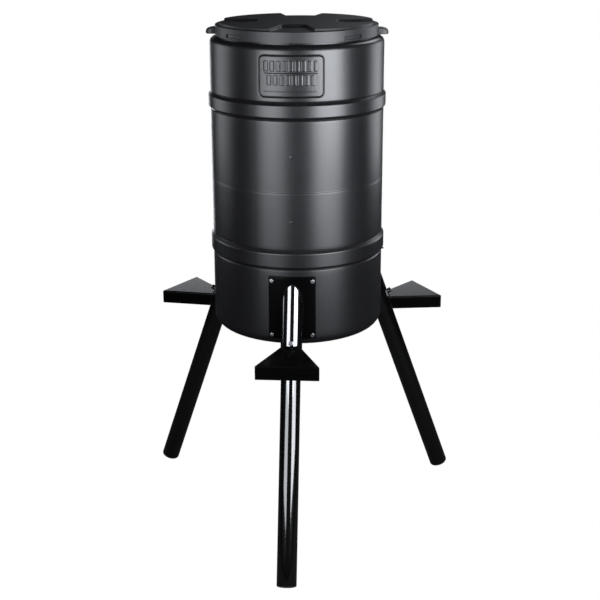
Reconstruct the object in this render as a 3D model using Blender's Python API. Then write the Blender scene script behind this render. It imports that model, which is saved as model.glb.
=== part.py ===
# Gravity-feed drum hopper on three splayed tube legs, with a step on each leg bracket
# and a screw lid. Metres, +Z up: the feet stand on z = 0, the front leg points to -Y
# and the drum's axis is the line x = 0, y = AXIS_Y.
import math

import bmesh
import bpy
from mathutils import Matrix, Vector

# driving dimensions
GAP = 0.0004
BORE_GAP = 0.0003
SEGMENTS = 60
LEG_AZIMUTHS = {"front": 0.0, "left": -120.0, "right": 120.0}

DRUM_R = 0.2275
DRUM_WALL = 0.0045
DRUM_BASE_Z = 0.557
BASE_EDGE_R = 0.025
SHOULDER_Z = 1.3315
SHOULDER_EDGE_R = 0.015
HOOP_PROUD = 0.0055
HOOP_SLOPE = 0.006
LOW_HOOP = (0.763, 0.813)
HIGH_HOOP = (1.148, 1.192)
NECK_R = 0.2045
NECK_DIP = 0.006
NECK_TOP_Z = 1.354
NECK_BEAD_Z = 1.343
NECK_BEAD_HALF = 0.003
NECK_BEAD_PROUD = 0.0015
OUTLET_R = 0.036
PANEL_Z = (1.206, 1.307)
PANEL_HALF_ANGLE = math.radians(20.3)
PANEL_CORNER = 0.012
PANEL_PROUD = 0.0013

RING_R = 0.212
RING_Z = (1.3325, 1.3625)
RING_WALL = 0.0035
RING_BORE_R = 0.194
RING_SEAT_Z = 1.3575
THROAT_FOOT_Z = 1.326
GASKET_R = (0.1985, 0.2030)
SLOT_SIZE = (0.059, 0.010)
SLOT_Z = 1.344
SLOT_AZIMUTHS = (45, 135, -135, -45)
NOTCH_SIZE = (0.003, 0.006)
EAR_HALF_WIDTH = 0.015
EAR_ROOT_R = 0.2102
EAR_OUTLINE = ((0.2345, 0.0), (0.2375, 0.003), (0.2365, 0.0085), (0.2310, 0.0140), (0.2220, 0.0170))
EAR_HEIGHT = 0.0175

LID_TOP_Z = 1.370
LID_FLANGE_Z = 1.3595
LID_FLOOR_Z = 1.3625
LID_R = 0.2078
LOBE_R = 0.2055
POCKET_INNER = (0.105, 0.030)
POCKET_RIM_HALF = 0.0565
LID_SHEET = 0.003
THREAD_R = 0.1915
THREAD_FOOT_Z = 1.338

PLATE_THICK = 0.003
PLATE_HALF_WIDTH = 0.0605
PLATE_Z = (0.578, 0.746)
BOLT_SIDE = 0.051
BOLT_Z = (0.588, 0.734)
BOLT_R = 0.003
BOLT_HEX_R = 0.00577
BOLT_HEAD = 0.004
BOLT_LENGTH = 0.0195
NUT_HEIGHT = 0.005

LEG_TILT = math.radians(21.15)
LEG_R = 0.0254
LEG_WALL = 0.00165
LEG_AXIS_MEETS_WALL_Z = 0.658
SOCKET_OUT_R = 0.02775
SOCKET_IN_R = 0.02575
SOCKET_FOOT_Z = 0.539
FOOT_CHAMFER = 0.001
FOOT_HEAD = 0.003
FOOT_STEM = 0.025
SCREW_R = 0.004
SCREW_HEX_R = 0.0075
SCREW_HEAD = 0.0053
LEG_NUT_HEIGHT = 0.0065
SCREW_BELOW_LEG_TOP = 0.0097

STEP_TOP_Z = 0.578
STEP_OUTER_R = 0.420
STEP_HALF_WIDTH = 0.081
STEP_NECK_R = 0.284
STEP_NECK_HALF = 0.025
STEP_INNER_R = 0.262
STEP_DEPTH = 0.036
STEP_SHEET = 0.003

FUNNEL_SHEET = 0.0025
FUNNEL_RIM_R = 0.2215
FUNNEL_RIM_Z = (0.765, 0.779)
SPOUT_R = 0.0335
SPOUT_FOOT_Z = 0.537
SPOUT_SHOULDER_R = 0.046
SPOUT_NUT_R = 0.049
SPOUT_NUT_HEIGHT = 0.012
FEEDER_PLATE_R = 0.085
FEEDER_PLATE_THICK = 0.003
FEEDER_SCREW_CIRCLE_R = 0.070
FEEDER_SCREW_R = 0.0025
FEEDER_SCREW_HEX_R = 0.0046

PLUG_AZIMUTH = math.radians(95.0)
PLUG_Z = 0.753
PLUG_R = 0.002
PLUG_BARB_R = 0.003
PLUG_BARB = 0.002
PLUG_PROUD = 0.008
PLUG_EASE = 0.001

# worked out from the driving dimensions
SIN_TILT = math.sin(LEG_TILT)
COS_TILT = math.cos(LEG_TILT)
FOOT_Z = (LEG_R - FOOT_CHAMFER) * SIN_TILT
FOOT_R = DRUM_R + (LEG_AXIS_MEETS_WALL_Z - FOOT_Z) * SIN_TILT / COS_TILT
PLATE_IN_R = DRUM_R + GAP
PLATE_OUT_R = PLATE_IN_R + PLATE_THICK
LEG_TOP = (FOOT_R - PLATE_OUT_R - 2 * GAP - LEG_R * COS_TILT) / SIN_TILT
SOCKET_FOOT = (SOCKET_FOOT_Z - FOOT_Z) / COS_TILT
SOCKET_TOP = SOCKET_FOOT + 0.24
SCREW_S = LEG_TOP - SCREW_BELOW_LEG_TOP
FRONT_REACH = FOOT_R - FOOT_CHAMFER * SIN_TILT + LEG_R * COS_TILT
BACK_REACH = STEP_OUTER_R * 0.5 + STEP_HALF_WIDTH * math.sin(math.radians(120.0))
AXIS_Y = (FRONT_REACH - BACK_REACH) / 2
NUT_FACE_R = (DRUM_R - DRUM_WALL) * math.cos(math.pi / SEGMENTS) - GAP


def clear_scene():
    for item in list(bpy.data.objects):
        bpy.data.objects.remove(item)


def make_material(name, color, roughness, metallic=0.0):
    material = bpy.data.materials.new(name)
    material.use_nodes = True
    shader = material.node_tree.nodes["Principled BSDF"]
    shader.inputs["Base Color"].default_value = (*color, 1.0)
    shader.inputs["Roughness"].default_value = roughness
    shader.inputs["Metallic"].default_value = metallic
    return material


def mesh_from(name, points, faces):
    """A closed mesh from its points and faces, with the faces turned outwards."""
    mesh = bpy.data.meshes.new(name)
    mesh.from_pydata([tuple(p) for p in points], [], faces)
    shape = bmesh.new()
    shape.from_mesh(mesh)
    bmesh.ops.recalc_face_normals(shape, faces=shape.faces)
    shape.to_mesh(mesh)
    shape.free()
    mesh.shade_smooth()
    mesh.set_sharp_from_angle(angle=math.radians(35.0))
    return mesh


def turned(name, profile, sides=SEGMENTS, hollow=True, hex_rings=()):
    """A profile of (radius, height) turned about Z. A hollow one is a closed loop;
    a solid one is open and capped at both ends. A ring named in hex_rings is a hexagon."""
    points = []
    for number, (radius, height) in enumerate(profile):
        for side in range(sides):
            angle = 2 * math.pi * side / sides
            reach = radius
            if number in hex_rings:
                from_flat = angle % (math.pi / 3) - math.pi / 6
                reach = radius * math.cos(math.pi / 6) / math.cos(from_flat)
            points.append((reach * math.sin(angle), -reach * math.cos(angle), height))
    rings = len(profile)
    faces = []
    for ring in range(rings if hollow else rings - 1):
        low = ring * sides
        high = (ring + 1) % rings * sides
        for side in range(sides):
            after = (side + 1) % sides
            faces.append((low + side, low + after, high + after, high + side))
    if not hollow:
        faces.append(tuple(range(sides)))
        faces.append(tuple(range((rings - 1) * sides, rings * sides)))
    return mesh_from(name, points, faces)


def prism(name, outline, low, high):
    """A flat outline of (x, y) points carried straight up from low to high."""
    count = len(outline)
    points = [(x, y, low) for x, y in outline] + [(x, y, high) for x, y in outline]
    faces = [tuple(range(count)), tuple(range(count, 2 * count))]
    for corner in range(count):
        after = (corner + 1) % count
        faces.append((corner, after, count + after, count + corner))
    return mesh_from(name, points, faces)


def joined(name, meshes_and_places):
    """Several closed meshes, each moved to its place, in one mesh for use as a cutter."""
    shape = bmesh.new()
    for mesh, place in meshes_and_places:
        moved = mesh.copy()
        moved.transform(place)
        shape.from_mesh(moved)
        bpy.data.meshes.remove(moved)
    mesh = bpy.data.meshes.new(name)
    shape.to_mesh(mesh)
    shape.free()
    return mesh


def add_object(name, mesh, material=None, parent=None, location=(0, 0, 0), rotation=(0, 0, 0)):
    item = bpy.data.objects.new(name, mesh)
    bpy.context.scene.collection.objects.link(item)
    item.parent = parent
    item.location = location
    item.rotation_euler = rotation
    if material:
        mesh.materials.clear()
        mesh.materials.append(material)
    return item


def add_cutter(name, mesh, parent=None, location=(0, 0, 0), rotation=(0, 0, 0)):
    cutter = add_object(name, mesh, None, parent, location, rotation)
    cutter.hide_render = True
    cutter.display_type = "WIRE"
    return cutter


def cut(item, cutter, operation="DIFFERENCE"):
    modifier = item.modifiers.new(operation.lower() + "_" + cutter.name, "BOOLEAN")
    modifier.operation = operation
    modifier.solver = "EXACT"
    modifier.object = cutter


def around(azimuth):
    """The place of something drawn at -Y, carried round the drum's axis to an azimuth."""
    return Matrix.Rotation(azimuth, 4, "Z")


def outward_at(azimuth, reach, height):
    """A frame on the drum's side whose own +Z points away from the drum."""
    return around(azimuth) @ Matrix.Translation((0, -reach, height)) @ Matrix.Rotation(math.pi / 2, 4, "X")


def arc(center, radius, start, end, steps):
    """Points of (radius, height) on a round corner, between two angles in degrees."""
    points = []
    for step in range(steps + 1):
        angle = math.radians(start + (end - start) * step / steps)
        points.append((center[0] + radius * math.cos(angle), center[1] + radius * math.sin(angle)))
    return points


def drum_wall(offset):
    """The side of the drum from the base to the shoulder, set in from the outside by offset."""
    side = DRUM_R - offset
    base = arc((DRUM_R - BASE_EDGE_R, DRUM_BASE_Z + BASE_EDGE_R), BASE_EDGE_R - offset, -90, 0, 3)
    points = list(base)
    for low, high in (LOW_HOOP, HIGH_HOOP):
        points.append((side, low))
        points.append((side + HOOP_PROUD, low + HOOP_SLOPE))
        points.append((side + HOOP_PROUD, high - HOOP_SLOPE))
        points.append((side, high))
    top = (DRUM_R - SHOULDER_EDGE_R, SHOULDER_Z - SHOULDER_EDGE_R)
    points += arc(top, SHOULDER_EDGE_R - offset, 0, 90, 3)
    return points


def build_drum(plastic, bolt_holes):
    neck_foot = SHOULDER_Z - NECK_DIP
    outside = [(OUTLET_R, DRUM_BASE_Z)] + drum_wall(0.0)
    outside += [(NECK_R, neck_foot), (NECK_R, NECK_BEAD_Z - NECK_BEAD_HALF)]
    outside += [(NECK_R + NECK_BEAD_PROUD, NECK_BEAD_Z), (NECK_R, NECK_BEAD_Z + NECK_BEAD_HALF)]
    outside += [(NECK_R, NECK_TOP_Z)]
    inside = [(OUTLET_R, DRUM_BASE_Z + DRUM_WALL)] + drum_wall(DRUM_WALL)
    inside[-1] = (NECK_R - DRUM_WALL, neck_foot - DRUM_WALL)
    inside += [(NECK_R - DRUM_WALL, NECK_TOP_Z)]
    drum = add_object("drum", turned("drum", outside + inside[::-1]), plastic, None, (0, AXIS_Y, 0))

    columns = []
    corner_angle = PANEL_CORNER / DRUM_R
    for azimuth in (-18, -12, -6, 0, 6, 12, 18):
        columns.append((math.radians(azimuth), 0.0))
    for turn in (0.0, 45.0, 90.0):
        angle = math.radians(turn)
        reach = PANEL_HALF_ANGLE - corner_angle * (1 - math.sin(angle))
        inset = PANEL_CORNER * (1 - math.cos(angle))
        columns += [(-reach, inset), (reach, inset)]
    columns.sort()
    points = []
    for azimuth, inset in columns:
        for radius in (DRUM_R - 0.0012, DRUM_R + PANEL_PROUD):
            for height in (PANEL_Z[0] + inset, PANEL_Z[1] - inset):
                points.append((radius * math.sin(azimuth), -radius * math.cos(azimuth), height))
    faces = [(0, 1, 3, 2), tuple(4 * len(columns) - 4 + k for k in (0, 1, 3, 2))]
    for column in range(len(columns) - 1):
        here = 4 * column
        for one, two in ((0, 1), (1, 3), (3, 2), (2, 0)):
            faces.append((here + one, here + two, here + 4 + two, here + 4 + one))
    panel = add_cutter("cutter_panel", mesh_from("panel", points, faces), None, (0, AXIS_Y, 0))
    cut(drum, panel, "UNION")
    cut(drum, bolt_holes)

    stem = turned("plug_hole", [(PLUG_R + BORE_GAP, -0.012), (PLUG_R + BORE_GAP, 0.012)], 12, False)
    place = Matrix.Translation((0, AXIS_Y, 0)) @ outward_at(PLUG_AZIMUTH, DRUM_R, PLUG_Z)
    plug_hole = add_cutter("cutter_plug_hole", joined("plug_hole", [(stem, place)]))
    cut(drum, plug_hole)
    bore = FEEDER_SCREW_R + BORE_GAP
    screw = turned("screw_hole", [(bore, DRUM_BASE_Z - 0.017), (bore, DRUM_BASE_Z + 0.023)], 12, False)
    screw_holes = add_cutter("cutter_feeder_screws", joined("screw_holes", [
        (screw, Matrix.Translation((0, AXIS_Y, 0)) @ around(math.radians(45.0 + 90.0 * quarter))
         @ Matrix.Translation((0, -FEEDER_SCREW_CIRCLE_R, 0))) for quarter in range(4)]))
    cut(drum, screw_holes)
    return screw_holes


def build_cable_plug(rubber):
    inner = -(DRUM_WALL + 2 * GAP)
    profile = [(PLUG_BARB_R, inner - PLUG_BARB), (PLUG_BARB_R, inner), (PLUG_R, inner),
               (PLUG_R, PLUG_PROUD - PLUG_EASE), (PLUG_R - 0.6 * PLUG_EASE, PLUG_PROUD)]
    place = Matrix.Translation((0, AXIS_Y, 0)) @ outward_at(PLUG_AZIMUTH, DRUM_R, PLUG_Z)
    plug = add_object("cable_plug", turned("cable_plug", profile, 12, False), rubber)
    plug.matrix_world = place


def build_lid_ring(plastic):
    low, high = RING_Z
    web = NECK_TOP_Z + GAP
    skirt = RING_R - RING_WALL
    throat = RING_BORE_R + RING_WALL
    profile = [(skirt, low), (RING_R, low), (RING_R, high - 0.0012), (RING_R - 0.0012, high), (skirt, high),
               (skirt, RING_SEAT_Z), (RING_BORE_R, RING_SEAT_Z), (RING_BORE_R, THROAT_FOOT_Z),
               (throat, THROAT_FOOT_Z), (throat, web), (skirt, web)]
    ring = add_object("lid_ring", turned("lid_ring", profile), plastic, None, (0, AXIS_Y, 0))

    half = SLOT_SIZE[0] / 2
    outside = RING_R + 0.003
    behind = skirt - 0.005
    slot = prism("slot", [(-half, -outside), (half, -outside), (half, -behind), (-half, -behind)],
                 SLOT_Z - SLOT_SIZE[1] / 2, SLOT_Z + SLOT_SIZE[1] / 2)
    half = NOTCH_SIZE[0] / 2
    notch = prism("notch", [(-half, -outside), (half, -outside), (half, -behind), (-half, -behind)],
                  low - 0.001, low + NOTCH_SIZE[1])
    holes = [(slot, around(math.radians(azimuth))) for azimuth in SLOT_AZIMUTHS]
    holes.append((notch, Matrix()))
    cut(ring, add_cutter("cutter_ring_slots", joined("ring_slots", holes), None, (0, AXIS_Y, 0)))

    base = low + 0.001
    outline = [(EAR_ROOT_R, base)]
    outline += [(radius, base + height) for radius, height in EAR_OUTLINE]
    outline += [(EAR_ROOT_R, base + EAR_HEIGHT)]
    ear = prism("ear", outline, -EAR_HALF_WIDTH, EAR_HALF_WIDTH)
    upright = Matrix.Rotation(math.pi / 2, 4, "X")
    ears = joined("ears", [(ear, upright), (ear, around(math.pi) @ upright)])
    cut(ring, add_cutter("cutter_ears", ears, None, (0, AXIS_Y, 0)), "UNION")


def lobed_outline(radius, inset):
    """The four lobes seen from above: a disc with four pockets open to its rim.
    inset widens the pockets and moves them in, which leaves room for a sheet's thickness."""
    inner, inner_half = POCKET_INNER
    inner_half += inset
    rim_half = POCKET_RIM_HALF + inset
    rim_angle = math.asin(rim_half / radius)
    points = []
    for quarter in range(4):
        middle = quarter * math.pi / 2
        turn = Matrix.Rotation(middle, 2)
        for side in (-1, 1):
            points.append(tuple(turn @ Vector((side * inner_half, -(inner - inset)))))
        sweep = math.pi / 2 - 2 * rim_angle
        for step in range(9):
            angle = middle + rim_angle + sweep * step / 8
            points.append((radius * math.sin(angle), -radius * math.cos(angle)))
    return points


def build_lid(plastic):
    disc = turned("lid", [(LID_R, LID_FLANGE_Z), (LID_R, LID_FLOOR_Z)], SEGMENTS, False)
    lid = add_object("lid", disc, plastic, None, (0, AXIS_Y, 0))
    lobes = add_cutter("cutter_lid_lobes", prism("lobes", lobed_outline(LOBE_R, 0.0),
                       LID_FLOOR_Z - 0.001, LID_TOP_Z), None, (0, AXIS_Y, 0))
    cut(lid, lobes, "UNION")
    hollow = add_cutter("cutter_lid_hollow", prism("lid_hollow", lobed_outline(0.1835, LID_SHEET),
                        LID_FLANGE_Z - 0.004, LID_TOP_Z - LID_SHEET), None, (0, AXIS_Y, 0))
    cut(lid, hollow)
    wall = [(THREAD_R - 0.004, THREAD_FOOT_Z), (THREAD_R, THREAD_FOOT_Z),
            (THREAD_R, LID_FLANGE_Z + 0.001), (THREAD_R - 0.004, LID_FLANGE_Z + 0.001)]
    thread_wall = add_cutter("cutter_lid_thread_wall", turned("thread_wall", wall), None, (0, AXIS_Y, 0))
    cut(lid, thread_wall, "UNION")


def build_gasket(rubber):
    low = RING_SEAT_Z + GAP
    high = LID_FLANGE_Z - GAP
    inner, outer = GASKET_R
    profile = [(inner, low), (outer, low), (outer, high), (inner, high)]
    add_object("lid_gasket", turned("lid_gasket", profile), rubber, None, (0, AXIS_Y, 0))


def build_funnel(plastic):
    low, high = FUNNEL_RIM_Z
    bore = SPOUT_R - 0.003
    floor = DRUM_BASE_Z + DRUM_WALL + GAP
    cone_foot = floor + 0.008
    slope = (low - cone_foot) / (FUNNEL_RIM_R - FUNNEL_SHEET - bore)
    drop = FUNNEL_SHEET * math.sqrt(1 + slope * slope)

    def underside(radius):
        return cone_foot + slope * (radius - bore) - drop

    profile = [(bore, SPOUT_FOOT_Z), (SPOUT_R, SPOUT_FOOT_Z), (SPOUT_R, floor),
               (SPOUT_SHOULDER_R, floor), (SPOUT_SHOULDER_R, floor + 0.003), (SPOUT_R + 0.004, floor + 0.003),
               (SPOUT_R + 0.004, underside(SPOUT_R + 0.004)), (FUNNEL_RIM_R, underside(FUNNEL_RIM_R)),
               (FUNNEL_RIM_R, high), (FUNNEL_RIM_R - FUNNEL_SHEET, high), (FUNNEL_RIM_R - FUNNEL_SHEET, low),
               (bore, cone_foot)]
    add_object("funnel", turned("funnel", profile), plastic, None, (0, AXIS_Y, 0))


def build_outlet(plastic, steel, zinc, screw_holes):
    top = DRUM_BASE_Z - GAP
    low = top - FEEDER_PLATE_THICK
    ring = [(OUTLET_R, low), (FEEDER_PLATE_R, low), (FEEDER_PLATE_R, top), (OUTLET_R, top)]
    plate = add_object("feeder_plate", turned("feeder_plate", ring, 48), steel, None, (0, AXIS_Y, 0))
    cut(plate, screw_holes)

    nut_top = low - GAP
    nut_low = nut_top - SPOUT_NUT_HEIGHT
    bore = SPOUT_R + GAP
    nut = [(bore, nut_low), (SPOUT_NUT_R, nut_low), (SPOUT_NUT_R, nut_top), (bore, nut_top)]
    add_object("spout_nut", turned("spout_nut", nut, 24, True, (1, 2)), plastic, None, (0, AXIS_Y, 0))

    shank = [(FEEDER_SCREW_R, 0.0135), (FEEDER_SCREW_R, 0.0), (FEEDER_SCREW_HEX_R, 0.0),
             (FEEDER_SCREW_HEX_R, -0.0035)]
    mesh = turned("feeder_screw", shank, 12, False, (2, 3))
    for quarter in range(4):
        angle = math.radians(45.0 + 90.0 * quarter)
        x = FEEDER_SCREW_CIRCLE_R * math.sin(angle)
        y = AXIS_Y - FEEDER_SCREW_CIRCLE_R * math.cos(angle)
        add_object(f"feeder_plate_screw_{quarter + 1}", mesh, zinc, None, (x, y, low - GAP))


def bolt_spots():
    """The four bolts of one bracket, as (angle from the leg, height)."""
    angle = math.asin(BOLT_SIDE / DRUM_R)
    return [(side * angle, height) for height in BOLT_Z for side in (-1, 1)]


def build_bolt_holes():
    """One cutter for every bolt hole in the drum and in the bracket plates."""
    hole = turned("bolt_hole", [(BOLT_R + 0.0004, -0.012), (BOLT_R + 0.0004, 0.012)], 12, False)
    places = []
    for azimuth in LEG_AZIMUTHS.values():
        for angle, height in bolt_spots():
            spot = outward_at(math.radians(azimuth) + angle, DRUM_R, height)
            places.append((hole, Matrix.Translation((0, AXIS_Y, 0)) @ spot))
    return add_cutter("cutter_bolt_holes", joined("bolt_holes", places))


def plate_mesh():
    """A flat plate rolled to the drum: columns of four points at each azimuth."""
    edge = PLATE_HALF_WIDTH / DRUM_R
    azimuths = [-edge] + [math.radians(a) for a in (-12, -6, 0, 6, 12)] + [edge]
    points = []
    for azimuth in azimuths:
        for radius in (PLATE_IN_R, PLATE_OUT_R):
            for height in PLATE_Z:
                points.append((radius * math.sin(azimuth), -radius * math.cos(azimuth), height))
    last = 4 * (len(azimuths) - 1)
    faces = [(0, 1, 3, 2), (last, last + 1, last + 3, last + 2)]
    for here in range(0, last, 4):
        for one, two in ((0, 1), (1, 3), (3, 2), (2, 0)):
            faces.append((here + one, here + two, here + 4 + two, here + 4 + one))
    return mesh_from("bracket_plate", points, faces)


def step_outline(set_in):
    """The step's plan: its wide outer edge, and sides that narrow towards the socket.
    set_in moves the edges inwards by the sheet's thickness, except at the narrow end."""
    taper = (STEP_HALF_WIDTH - STEP_NECK_HALF) / (STEP_OUTER_R - STEP_NECK_R)
    side_loss = set_in * math.sqrt(1 + taper * taper)

    def half_width(radius):
        return STEP_HALF_WIDTH - taper * (STEP_OUTER_R - radius) - side_loss

    outer = STEP_OUTER_R - set_in
    inner = STEP_INNER_R + set_in
    return [(-half_width(outer), -outer), (half_width(outer), -outer),
            (half_width(inner), -inner), (-half_width(inner), -inner)]


def build_leg_set(name, azimuth, materials, bolt_holes, wall_cutter):
    steel, zinc, rubber = materials
    turn = (0, 0, math.radians(azimuth))
    bracket = add_object("bracket_" + name, None, None, None, (0, AXIS_Y, 0), turn)
    axis = add_object("leg_axis_" + name, None, None, bracket, (0, -FOOT_R, FOOT_Z), (-LEG_TILT, 0, 0))

    plate = add_object("bracket_plate_" + name, plate_mesh(), steel, bracket)
    cut(plate, bolt_holes)
    shank = [(BOLT_R, -BOLT_LENGTH), (BOLT_R, 0.0), (BOLT_HEX_R, 0.0), (BOLT_HEX_R, BOLT_HEAD)]
    bolt = turned("plate_bolt", shank, 12, False, (2, 3))
    bore = BOLT_R + BORE_GAP
    nut = turned("plate_nut", [(bore, -NUT_HEIGHT), (BOLT_HEX_R, -NUT_HEIGHT), (BOLT_HEX_R, 0.0), (bore, 0.0)],
                 12, True, (1, 2))
    for number, (angle, height) in enumerate(bolt_spots(), 1):
        for label, mesh, reach in (("bolt", bolt, PLATE_OUT_R + GAP), ("nut", nut, NUT_FACE_R)):
            spot = (reach * math.sin(angle), -reach * math.cos(angle), height)
            add_object(f"plate_{label}_{name}_{number}", mesh, zinc, bracket, spot, (math.pi / 2, 0, angle))

    tube = [(SOCKET_IN_R, SOCKET_FOOT), (SOCKET_OUT_R, SOCKET_FOOT)]
    tube += [(SOCKET_OUT_R, SOCKET_TOP), (SOCKET_IN_R, SOCKET_TOP)]
    socket = add_object("socket_" + name, turned("socket", tube, 24), steel, axis)
    cut(socket, wall_cutter)
    bore = SCREW_R + BORE_GAP
    hole = turned("screw_hole", [(bore, LEG_R - 0.005), (bore, LEG_R + 0.010)], 12, False)
    cut(socket, add_cutter("cutter_screw_" + name, hole, axis, (0, 0, SCREW_S), (math.pi / 2, 0, 0)))

    nut_low = SOCKET_OUT_R + GAP
    nut_high = nut_low + LEG_NUT_HEIGHT
    leg_nut = [(bore, nut_low), (SCREW_HEX_R, nut_low), (SCREW_HEX_R, nut_high), (bore, nut_high)]
    add_object("leg_nut_" + name, turned("leg_nut", leg_nut, 12, True, (1, 2)), steel, axis,
               (0, 0, SCREW_S), (math.pi / 2, 0, 0))
    head = nut_high + GAP
    screw = [(SCREW_R, LEG_R + GAP), (SCREW_R, head)]
    screw += [(SCREW_HEX_R, head), (SCREW_HEX_R, head + SCREW_HEAD)]
    add_object("leg_screw_" + name, turned("leg_screw", screw, 12, False, (2, 3)), zinc, axis,
               (0, 0, SCREW_S), (math.pi / 2, 0, 0))

    step = add_object("step_" + name, prism("step", step_outline(0.0), STEP_TOP_Z - STEP_DEPTH, STEP_TOP_Z),
                      steel, bracket)
    foot_z = STEP_TOP_Z - STEP_DEPTH - 0.01
    inside = prism("step_inside", step_outline(STEP_SHEET), foot_z, STEP_TOP_Z - STEP_SHEET)
    cut(step, add_cutter("cutter_step_inside_" + name, inside, bracket))
    sleeve = turned("sleeve", [(SOCKET_OUT_R + GAP, 0.5), (SOCKET_OUT_R + GAP, 0.75)], 24, False)
    cut(step, add_cutter("cutter_sleeve_" + name, sleeve, axis))

    bore = LEG_R - LEG_WALL
    leg = [(bore, FOOT_HEAD + GAP), (LEG_R, FOOT_HEAD + GAP), (LEG_R, LEG_TOP), (bore, LEG_TOP)]
    add_object("leg_" + name, turned("leg", leg, 24), steel, axis)
    foot = [(LEG_R - FOOT_CHAMFER, 0.0), (LEG_R, FOOT_CHAMFER), (LEG_R, FOOT_HEAD), (bore - GAP, FOOT_HEAD),
            (bore - GAP, FOOT_HEAD + FOOT_STEM)]
    add_object("foot_" + name, turned("foot", foot, 24, False), rubber, axis)


def build():
    clear_scene()
    drum_plastic = make_material("drum_plastic", (0.032, 0.033, 0.037), 0.36)
    lid_plastic = make_material("lid_plastic", (0.045, 0.046, 0.049), 0.5)
    black_steel = make_material("black_steel", (0.008, 0.008, 0.009), 0.12)
    zinc = make_material("zinc", (0.62, 0.63, 0.64), 0.32, 1.0)
    rubber = make_material("rubber", (0.015, 0.015, 0.016), 0.75)

    bolt_holes = build_bolt_holes()
    screw_holes = build_drum(drum_plastic, bolt_holes)
    build_cable_plug(rubber)
    build_lid_ring(lid_plastic)
    build_lid(lid_plastic)
    build_gasket(rubber)
    build_funnel(drum_plastic)
    build_outlet(drum_plastic, black_steel, zinc, screw_holes)
    wall = turned("wall", [(PLATE_OUT_R + GAP, 0.50), (PLATE_OUT_R + GAP, 0.80)], SEGMENTS, False)
    wall_cutter = add_cutter("cutter_wall", wall, None, (0, AXIS_Y, 0))
    for name, azimuth in LEG_AZIMUTHS.items():
        build_leg_set(name, azimuth, (black_steel, zinc, rubber), bolt_holes, wall_cutter)


build()
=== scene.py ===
# Drum hopper on three tube legs: fine surfaces, finishes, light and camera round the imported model.
# Metres, +Z up. The front leg points to -Y and azimuths run from there towards +X.
import math

import bpy
import numpy as np
from mathutils import Matrix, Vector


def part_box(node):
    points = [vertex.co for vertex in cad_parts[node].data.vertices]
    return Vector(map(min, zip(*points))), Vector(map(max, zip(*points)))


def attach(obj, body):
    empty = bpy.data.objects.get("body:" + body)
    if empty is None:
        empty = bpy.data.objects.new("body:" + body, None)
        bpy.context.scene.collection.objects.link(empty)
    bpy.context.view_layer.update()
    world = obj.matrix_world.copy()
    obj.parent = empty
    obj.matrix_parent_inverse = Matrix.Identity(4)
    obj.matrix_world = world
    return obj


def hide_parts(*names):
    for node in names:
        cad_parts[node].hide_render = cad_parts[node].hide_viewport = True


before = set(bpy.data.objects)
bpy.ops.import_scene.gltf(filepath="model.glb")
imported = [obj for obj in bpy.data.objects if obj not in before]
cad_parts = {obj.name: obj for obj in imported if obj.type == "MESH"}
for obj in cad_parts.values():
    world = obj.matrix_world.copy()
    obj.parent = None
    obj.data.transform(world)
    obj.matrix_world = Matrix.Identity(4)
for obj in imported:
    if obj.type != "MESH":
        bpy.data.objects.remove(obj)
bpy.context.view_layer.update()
scene = bpy.context.scene
fullTurn = 2 * math.pi
print("hopper: packed model loaded")

gasketLow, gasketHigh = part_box("lid_gasket")
axisY = (gasketLow.y + gasketHigh.y) / 2      # the drum's axis is the line x = 0, y = axisY
drumRadius = 0.2275
plateFace = 0.2309                            # outer face of a bracket plate, from the axis
legAzimuths = {"front": 0.0, "left": -120.0, "right": 120.0}

# the line of a leg: it starts at the foot and leans in towards the drum
legLine = {"tilt": math.radians(21.15), "radius": 0.0254, "chamfer": 0.001, "meetsWallZ": 0.658}
legSine, legCosine = math.sin(legLine["tilt"]), math.cos(legLine["tilt"])
footZ = (legLine["radius"] - legLine["chamfer"]) * legSine
footReach = drumRadius + (legLine["meetsWallZ"] - footZ) * legSine / legCosine
legTop = (footReach - plateFace - 0.0008 - legLine["radius"] * legCosine) / legSine
screwUp = legTop - 0.0097                     # how far up the leg its locking screw sits


def smooth(value):
    # eases from 0 to 1 while the value goes from 0 to 1
    value = np.clip(value, 0.0, 1.0)
    return value * value * (3 - 2 * value)


def bell(value, middle, width):
    # 1 at the middle, falling away on both sides
    return np.exp(-((value - middle) / width) ** 2)


def boxDistance(across, up, halfWide, halfHigh, corner):
    # distance to a rectangle with round corners, negative inside it
    sideways = np.abs(across) - halfWide + corner
    upwards = np.abs(up) - halfHigh + corner
    outside = np.hypot(np.maximum(sideways, 0), np.maximum(upwards, 0))
    return outside + np.minimum(np.maximum(sideways, upwards), 0) - corner


def rounded(corners, radii, steps=6, closed=True):
    # swaps each corner of a profile for an arc that is tangent to both of its sides
    corners = np.array(corners, float)
    before = np.roll(corners, 1, axis=0) - corners
    after = np.roll(corners, -1, axis=0) - corners
    beforeLong = np.linalg.norm(before, axis=1, keepdims=True)
    afterLong = np.linalg.norm(after, axis=1, keepdims=True)
    before, after = before / beforeLong, after / afterLong
    half = np.arccos(np.clip((before * after).sum(axis=1, keepdims=True), -0.9999, 0.9999)) / 2
    radii = np.broadcast_to(np.array(radii, float), len(corners))[:, None]
    radii = np.minimum(radii, 0.45 * np.minimum(beforeLong, afterLong) * np.tan(half))
    bisector = before + after
    bisector = bisector / np.linalg.norm(bisector, axis=1, keepdims=True)
    centre = corners + bisector * radii / np.sin(half)
    start = corners + before * radii / np.tan(half) - centre
    end = corners + after * radii / np.tan(half) - centre
    sweep = (math.pi - 2 * half)[:, None]
    part = np.linspace(0, 1, steps)[None, :, None]
    arcs = start[:, None] * np.sin((1 - part) * sweep) + end[:, None] * np.sin(part * sweep)
    arcs = centre[:, None] + arcs / np.sin(sweep)
    if closed:
        return arcs.reshape(-1, 2)
    return np.concatenate([corners[:1], arcs[1:-1].reshape(-1, 2), corners[-1:]])


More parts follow.
